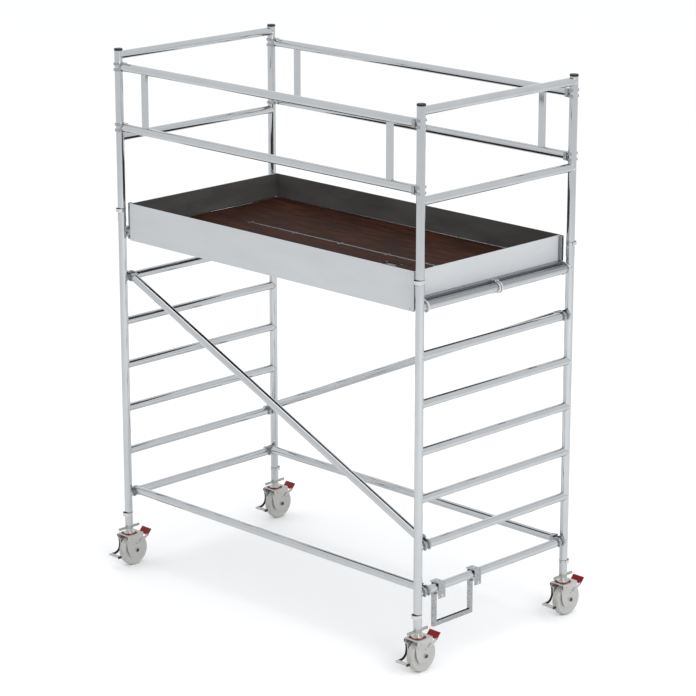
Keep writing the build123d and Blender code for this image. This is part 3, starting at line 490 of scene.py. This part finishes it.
def scatter(name, tree, places, material, body, slot, **sizes):
    """Run a tree on (place, direction) pairs and keep the result as a plain mesh on a body."""
    cloud = bpy.data.meshes.new(name + "_points")
    cloud.from_pydata([tuple(place) for place, _ in places], [], [])
    facing = cloud.attributes.new("facing", "FLOAT_VECTOR", "POINT")
    for index, (_, direction) in enumerate(places):
        facing.data[index].vector = Vector(direction).normalized()
    maker = bpy.data.objects.new(name + "_maker", cloud)
    bpy.context.scene.collection.objects.link(maker)
    modifier = maker.modifiers.new("tree", "NODES")
    modifier.node_group = tree
    wanted = {label.replace("_", " "): value for label, value in sizes.items()}
    for item in tree.interface.items_tree:
        if item.item_type == "SOCKET" and item.in_out == "INPUT":
            if item.name == "Material":
                modifier[item.identifier] = material
            elif item.name in wanted:
                modifier[item.identifier] = wanted[item.name]
    bpy.context.view_layer.update()
    graph = bpy.context.evaluated_depsgraph_get()
    mesh = bpy.data.meshes.new_from_object(maker.evaluated_get(graph))
    mesh.name = name
    bpy.data.objects.remove(maker)
    piece = bpy.data.objects.new(name, mesh)
    bpy.context.scene.collection.objects.link(piece)
    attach(piece, body)
    print(name, "has", len(places), "copies and", len(mesh.polygons), "faces")
    return piece


print("tree helpers ready")

# %% [markdown]
# ## Weld beads
# Where a rung's end is shaped to the post, a bead of weld follows the joint. Both tubes have one
# radius, so the joint line is a circle seen along the rung, pulled out to the square root of what
# is left of that radius. The tree bends a circle that way, sweeps a small round along it, and
# a sine of the angle round the joint gives the ripples that each stop of the torch leaves.

# %% Weld bead tree
def weld_tree():
    """A rippled bead round the end of one tube that meets another of the same radius."""
    tree, source = start_tree("weld_bead", {"Tube Radius": 0.025, "Bead Radius": 0.0028,
                                            "Ripples": 40, "Ripple Height": 0.0005})
    ring = step_node(tree, "GeometryNodeCurvePrimitiveCircle",
                     {"Radius": source.outputs["Tube Radius"]}, {"Resolution": 72})
    position = step_node(tree, "GeometryNodeInputPosition")
    parts = step_node(tree, "ShaderNodeSeparateXYZ", {"Vector": position.outputs["Position"]})
    across = step_node(tree, "ShaderNodeMath", {0: parts.outputs["Y"], 1: parts.outputs["Y"]},
                       operation="MULTIPLY")
    drop = step_node(tree, "ShaderNodeMath", {0: across.outputs[0]}, operation="SQRT")
    lifted = step_node(tree, "ShaderNodeCombineXYZ", {"Z": drop.outputs[0]})
    bent = step_node(tree, "GeometryNodeSetPosition",
                     {"Geometry": ring.outputs["Curve"], "Offset": lifted.outputs["Vector"]})
    profile = step_node(tree, "GeometryNodeCurvePrimitiveCircle",
                        {"Radius": source.outputs["Bead Radius"]}, {"Resolution": 8})
    bead = step_node(tree, "GeometryNodeCurveToMesh", {"Curve": bent.outputs["Geometry"],
                                                       "Profile Curve": profile.outputs["Curve"]})
    angle = step_node(tree, "ShaderNodeMath", {0: parts.outputs["Y"], 1: parts.outputs["X"]},
                      operation="ARCTAN2")
    phase = step_node(tree, "ShaderNodeMath",
                      {0: angle.outputs[0], 1: source.outputs["Ripples"]}, operation="MULTIPLY")
    wave = step_node(tree, "ShaderNodeMath", {0: phase.outputs[0]}, operation="SINE")
    height = step_node(tree, "ShaderNodeMath",
                       {0: wave.outputs[0], 1: source.outputs["Ripple Height"]},
                       operation="MULTIPLY")
    outward = step_node(tree, "GeometryNodeInputNormal")
    ripple = step_node(tree, "ShaderNodeVectorMath",
                       {0: outward.outputs["Normal"], "Scale": height.outputs[0]},
                       operation="SCALE")
    rippled = step_node(tree, "GeometryNodeSetPosition",
                        {"Geometry": bead.outputs["Mesh"], "Offset": ripple.outputs["Vector"]})
    smooth = step_node(tree, "GeometryNodeSetShadeSmooth",
                       {"Geometry": rippled.outputs["Geometry"]})
    return end_tree(tree, source, smooth.outputs["Geometry"])


weld_beads = weld_tree()
rail_joints = []
for end in (-1, 1):
    for height in rung_heights + list(guard_rail_heights):
        rail_joints.append(((end * post_x, front_y, height), (0, 1, 0)))
        rail_joints.append(((end * post_x, back_y, height), (0, -1, 0)))
scatter("rung_welds", weld_beads, rail_joints, bright_tube, "tower", "aluminium_tube")

# %% [markdown]
# ## Rivets, bolts and screws
# A rivet's head is a low dome, and the same dome stretched along Y is a rib. A bolt is a washer
# and a hexagon, two short cylinders, under a cone for its chamfered top. Each stands on the
# surface, along the direction of its point.

# %% Rivet and bolt trees
def rivet_tree():
    """A low dome, round or stretched into a rib."""
    tree, source = start_tree("rivet_head", {"Head Radius": 0.005, "Head Height": 0.002,
                                             "Stretch": 1.0})
    ball = step_node(tree, "GeometryNodeMeshUVSphere", values={"Segments": 16, "Rings": 8,
                                                               "Radius": 1.0})
    length = step_node(tree, "ShaderNodeMath",
                       {0: source.outputs["Head Radius"], 1: source.outputs["Stretch"]},
                       operation="MULTIPLY")
    size = step_node(tree, "ShaderNodeCombineXYZ",
                     {"X": source.outputs["Head Radius"], "Y": length.outputs[0],
                      "Z": source.outputs["Head Height"]})
    dome = step_node(tree, "GeometryNodeTransform",
                     {"Geometry": ball.outputs["Mesh"], "Scale": size.outputs["Vector"]})
    smooth = step_node(tree, "GeometryNodeSetShadeSmooth", {"Geometry": dome.outputs["Geometry"]})
    return end_tree(tree, source, smooth.outputs["Geometry"])


def bolt_tree():
    """A washer, a hexagon head and its chamfered top."""
    tree, source = start_tree("bolt_head", {"Head Radius": 0.007, "Head Height": 0.005,
                                            "Washer Radius": 0.010, "Washer Height": 0.0015})
    shapes = []
    for kind, radius, height, sides in (("Washer", "Washer Radius", "Washer Height", 28),
                                        ("Head", "Head Radius", "Head Height", 6)):
        rod = step_node(tree, "GeometryNodeMeshCylinder",
                        {"Radius": source.outputs[radius], "Depth": source.outputs[height]},
                        {"Vertices": sides})
        half = step_node(tree, "ShaderNodeMath", {0: source.outputs[height]}, {1: 0.5},
                         operation="MULTIPLY")
        lift = step_node(tree, "ShaderNodeCombineXYZ", {"Z": half.outputs[0]})
        shapes.append(step_node(tree, "GeometryNodeTransform",
                                {"Geometry": rod.outputs["Mesh"],
                                 "Translation": lift.outputs["Vector"]}, label=kind))
    top_radius = step_node(tree, "ShaderNodeMath", {0: source.outputs["Head Radius"]}, {1: 0.80},
                           operation="MULTIPLY")
    chamfer = step_node(tree, "GeometryNodeMeshCone",
                        {"Radius Bottom": source.outputs["Head Radius"],
                         "Radius Top": top_radius.outputs[0]}, {"Vertices": 6, "Depth": 0.0008})
    lift = step_node(tree, "ShaderNodeCombineXYZ", {"Z": source.outputs["Head Height"]})
    shapes.append(step_node(tree, "GeometryNodeTransform",
                            {"Geometry": chamfer.outputs["Mesh"],
                             "Translation": lift.outputs["Vector"]}))
    joined = step_node(tree, "GeometryNodeJoinGeometry")
    for shape in shapes:
        tree.links.new(shape.outputs["Geometry"], joined.inputs["Geometry"])
    return end_tree(tree, source, joined.outputs["Geometry"])


rivets = rivet_tree()
bolts = bolt_tree()
print("trees:", rivets.name, bolts.name)

# %% [markdown]
# ## Side guard rivets
# The claws are plugged into the guard's tubes and riveted above and below.

# %% Rivets of the side guards
rivet_inset = 0.062
guard_rivets = []
for y in (front_y, back_y):
    for end in (-1, 1):
        for height in side_guard_heights:
            x = end * (post_x - rivet_inset)
            guard_rivets.append(((x, y, height + tube_radius), (0, 0, 1)))
            guard_rivets.append(((x, y, height - tube_radius), (0, 0, -1)))
scatter("side_guard_rivets", rivets, guard_rivets, plated, "tower", "zinc_plated",
        Head_Radius=0.0052, Head_Height=0.0022)

# %% [markdown]
# ## Deck screws
# Countersunk screws hold the plywood to the beams and cross members. They are seen as small
# bright dots along the seam and the edges. Their heads stand a hair above the film.

# %% Deck screws
deck_low, deck_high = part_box("deck_panel_back")
front_low, front_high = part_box("deck_panel_front")
screw_pitch = 0.39
screw_inset = 0.010
screw_sink = 0.0004
deck_screws = []
for low, high in ((deck_low, deck_high), (front_low, front_high)):
    for step in (-2, -1, 0, 1, 2):
        for y in (low.y + screw_inset, high.y - screw_inset):
            deck_screws.append(((step * screw_pitch, y, high.z - screw_sink), (0, 0, 1)))
scatter("deck_screws", rivets, deck_screws, plated, "tower", "zinc_plated",
        Head_Radius=0.0045, Head_Height=0.0009)

# %% [markdown]
# ## Hatch handle screws
# Four small screws stand round the handle's pocket. They ride on the hatch and open with it.

# %% Hatch handle screws
handle_low, handle_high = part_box("hatch_handle")
plate_margin = 0.008
handle_screws = []
for x in (handle_low.x - plate_margin, handle_high.x + plate_margin):
    for y in (handle_low.y - plate_margin, handle_high.y + plate_margin):
        handle_screws.append(((x, y, deck_high.z - screw_sink), (0, 0, 1)))
scatter("handle_screws", rivets, handle_screws, plated, "hatch", "zinc_plated",
        Head_Radius=0.0036, Head_Height=0.0010)

# %% [markdown]
# ## Spindle threads
# The post stands on a wing nut that climbs a threaded spindle. The thread is a helix with a
# rounded ridge: the tree sweeps a small six-sided round along a spiral curve.

# %% Thread tree
def thread_tree():
    """A helical thread about the facing direction, starting at the point."""
    tree, source = start_tree("spindle_thread", {"Turns": 4.0, "Pitch": 0.005,
                                                 "Core Radius": 0.018, "Ridge": 0.0016})
    rise = step_node(tree, "ShaderNodeMath",
                     {0: source.outputs["Turns"], 1: source.outputs["Pitch"]},
                     operation="MULTIPLY")
    helix = step_node(tree, "GeometryNodeCurveSpiral",
                      {"Rotations": source.outputs["Turns"],
                       "Start Radius": source.outputs["Core Radius"],
                       "End Radius": source.outputs["Core Radius"],
                       "Height": rise.outputs[0]}, {"Resolution": 36})
    profile = step_node(tree, "GeometryNodeCurvePrimitiveCircle",
                        {"Radius": source.outputs["Ridge"]}, {"Resolution": 6})
    ridge = step_node(tree, "GeometryNodeCurveToMesh",
                      {"Curve": helix.outputs["Curve"], "Profile Curve": profile.outputs["Curve"]},
                      {"Fill Caps": True})
    return end_tree(tree, source, ridge.outputs["Mesh"])


threads = thread_tree()
nut_low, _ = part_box("spindle_nut_fl")
thread_start = 0.231
thread_pitch = 0.005
thread_places = [((end * post_x, y, thread_start), (0, 0, 1)) for end, y in corners.values()]
scatter("spindle_threads", threads, thread_places, plated, "tower", "zinc_plated",
        Turns=(nut_low.z - thread_start) / thread_pitch)

# %% [markdown]
# ## Painted shadow rings
# A black ring on the post above each spring clip is painted shadow: it stands in for the shade
# at the clip's top, not for a part. The thread tree makes it too, with one turn and no pitch.

# %% Painted shadow rings
shadow_ring_radius = 0.0013
shadow_ring_places = []
for code, (end, y) in corners.items():
    for clip in ("frame_clip_", "castor_clip_"):
        _, clip_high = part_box(clip + code)
        shadow_ring_places.append(((end * post_x, y, clip_high.z + shadow_ring_radius), (0, 0, 1)))
scatter("clip_shadow_rings", threads, shadow_ring_places, rubber_and_shadow_black, "tower", "black_plastic",
        Turns=1.0, Pitch=0.0, Core_Radius=tube_radius, Ridge=shadow_ring_radius)

# %% [markdown]
# ## Castor details
# Rivets go through the crown's top and both fork legs, and a dark bolt closes each end of the
# axle. They ride on the castor's own body, so they turn with it.

# %% Castor bolts and rivets
axle_end = 0.0443
crown_rivet_x, crown_rivet_ys = 0.044, (-0.036, 0.052)
leg_side, leg_rivet_y, leg_rivet_z = 0.037, -0.012, 0.128
for code, (end, y) in corners.items():
    x = end * post_x
    _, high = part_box("castor_fork_" + code)
    wheel_low, wheel_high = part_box("castor_wheel_" + code)
    axle = (wheel_low + wheel_high) / 2
    crown_rivets = []
    for side in (-1, 1):
        for along in crown_rivet_ys:
            crown_rivets.append(((x + side * crown_rivet_x, y + along, high.z), (0, 0, 1)))
    scatter("crown_rivets_" + code, rivets, crown_rivets, plated, "castor_" + code,
            "zinc_plated", Head_Radius=0.0040, Head_Height=0.0018)
    leg_rivets = [((x + side * leg_side, y + leg_rivet_y, leg_rivet_z), (side, 0, 0))
                  for side in (-1, 1)]
    scatter("leg_rivets_" + code, rivets, leg_rivets, plated, "castor_" + code,
            "zinc_plated", Head_Radius=0.0042, Head_Height=0.0016)
    axle_ends = [((x + side * axle_end, axle.y, axle.z), (side, 0, 0)) for side in (-1, 1)]
    scatter("axle_ends_" + code, bolts, axle_ends, black_coat, "castor_" + code,
            "black_steel", Head_Radius=0.0062, Head_Height=0.0030, Washer_Radius=0.0112)

# %% [markdown]
# ## Pedal tread
# A shoe must not slip off the pedal, so low ribs cross its tread and a rubber cap closes the
# free end of the bar.

# %% Pedal ribs and caps
def rounded_blocks(name, blocks, rounding, material, body):
    """Blocks of (centre, size) with all their edges rounded, kept as one piece on a body."""
    shape = bmesh.new()
    for centre, size in blocks:
        corner_points = bmesh.ops.create_cube(shape, size=1.0)["verts"]
        bmesh.ops.scale(shape, vec=size, verts=corner_points)
        bmesh.ops.translate(shape, vec=centre, verts=corner_points)
    bmesh.ops.bevel(shape, geom=shape.edges[:], offset=rounding, segments=3, affect="EDGES")
    bmesh.ops.recalc_face_normals(shape, faces=shape.faces)
    mesh = bpy.data.meshes.new(name)
    shape.to_mesh(mesh)
    shape.free()
    mesh.polygons.foreach_set("use_smooth", [True] * len(mesh.polygons))
    mesh.materials.append(material)
    piece = bpy.data.objects.new(name, mesh)
    bpy.context.scene.collection.objects.link(piece)
    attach(piece, body)
    print(name, "has", len(blocks), "blocks")


tread_top = 0.088
tread_bar = (0.024, 0.012)
tread_end = 0.031
cap_length, cap_lap = 0.010, 0.003
first_rib, rib_pitch, rib_count = -0.040, 0.011, 6
for code, (end, _) in corners.items():
    pedal_low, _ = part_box("brake_pedal_" + code)
    bar_end = end * post_x + tread_end
    tread_y = pedal_low.y + tread_bar[0] / 2
    ribs = [((end * post_x + first_rib + step * rib_pitch, tread_y, tread_top), (0, 0, 1))
            for step in range(rib_count)]
    scatter("pedal_ribs_" + code, rivets, ribs, pedals[code], "pedal_" + code, "black_steel",
            Head_Radius=0.0018, Head_Height=0.0014, Stretch=5.0)
    cap = ((bar_end, tread_y, tread_top - tread_bar[1] / 2),
           (cap_length, tread_bar[0] + cap_lap, tread_bar[1] + cap_lap))
    rounded_blocks("pedal_cap_" + code, [cap], 0.002, rubber_and_shadow_black, "pedal_" + code)

# %% [markdown]
# ## Deck edges
# The extrusions that carry the plywood lap over its outer and end edges. They are the thin
# bright line round the deck. Along the middle seam the beams themselves show.

# %% Deck edges
lip_width, lip_height, lip_sink = 0.004, 0.0009, 0.0002
lips = []
for low, high, edge_y in ((deck_low, deck_high, deck_high.y - lip_width / 2),
                          (front_low, front_high, front_low.y + lip_width / 2)):
    middle_x, middle_panel = (low.x + high.x) / 2, (low.y + high.y) / 2
    lip_z = high.z + lip_height / 2 - lip_sink
    lips.append(((middle_x, edge_y, lip_z), (high.x - low.x, lip_width, lip_height)))
    for x in (low.x + lip_width / 2, high.x - lip_width / 2):
        lips.append(((x, middle_panel, lip_z), (lip_width, high.y - low.y - 2 * lip_width,
                                              lip_height)))
rounded_blocks("deck_edge_lips", lips, 0.0003, edge_metal, "tower")

# %% [markdown]
# ## Step bolts
# Each hook of the step is bolted through its outer leg and its top plate.

# %% Step bolts
hook_low, hook_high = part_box("step_hooks")
hook_width = 0.055
leg_bolt_rise, plate_bolt_inset = 0.014, 0.030
step_bolts = []
for y in (hook_low.y + hook_width / 2, hook_high.y - hook_width / 2):
    step_bolts.append(((hook_high.x, y, hook_low.z + leg_bolt_rise), (1, 0, 0)))
    step_bolts.append(((hook_low.x + plate_bolt_inset, y, hook_high.z), (0, 0, 1)))
scatter("step_bolts", bolts, step_bolts, plated, "step", "zinc_plated",
        Head_Radius=0.0062, Head_Height=0.0045, Washer_Radius=0.0090)

# %% [markdown]
# ## Studio
# A seamless pale floor, one large soft light on the end with the step, a weaker one on the front
# and a light overhead. Bright tube shows what is round it, so the floor and sky do most of it.

# %% Floor and lights
floor_size = 60.0
floor_mesh = bpy.data.meshes.new("floor")
half = floor_size / 2
floor_mesh.from_pydata([(-half, -half, 0), (half, -half, 0), (half, half, 0), (-half, half, 0)],
                       [], [(0, 1, 2, 3)])
floor = bpy.data.objects.new("floor", floor_mesh)
bpy.context.scene.collection.objects.link(floor)
floor_paint, _ = new_finish("studio_floor", (0.95, 0.95, 0.95), 0.0, 0.9)
floor_mesh.materials.append(floor_paint)

world = bpy.data.worlds.new("studio_sky")
world.use_nodes = True
sky = world.node_tree.nodes["Background"]
sky.inputs["Color"].default_value = (0.97, 0.985, 1.0, 1)
sky.inputs["Strength"].default_value = 1.07
bpy.context.scene.world = world


tower_middle = 1.6


def soft_light(name, place, size, power):
    """A square light that faces the middle of the tower."""
    lamp = bpy.data.lights.new(name, "AREA")
    lamp.size = size
    lamp.energy = power
    fitting = bpy.data.objects.new(name, lamp)
    aim = Vector((0, 0, tower_middle)) - Vector(place)
    fitting.rotation_euler = aim.to_track_quat("-Z", "Y").to_euler()
    fitting.location = place
    bpy.context.scene.collection.objects.link(fitting)


soft_light("end_light", (9.0, -2.0, 6.0), 5.0, 300)
soft_light("front_light", (1.0, -10.0, 6.5), 5.0, 60)
soft_light("top_light", (0.0, 0.0, 9.0), 6.0, 120)
bpy.context.scene.view_settings.view_transform = "Standard"
print("lights:", [lamp.name for lamp in bpy.data.lights])

# %% [markdown]
# ## Camera
# A long lens from the front and the right, from about twice the height of the tower.

# %% Camera
lens = bpy.data.cameras.new("camera")
lens.lens = 143.19
lens.sensor_width = 36.0
lens.clip_end = 200.0
camera = bpy.data.objects.new("camera", lens)
camera.location = (11.377, -11.376, 6.105)
camera.rotation_euler = (math.radians(90 - 15.82), 0, math.radians(44.88))
bpy.context.scene.collection.objects.link(camera)
bpy.context.scene.camera = camera
print("camera at", tuple(round(part, 3) for part in camera.location))
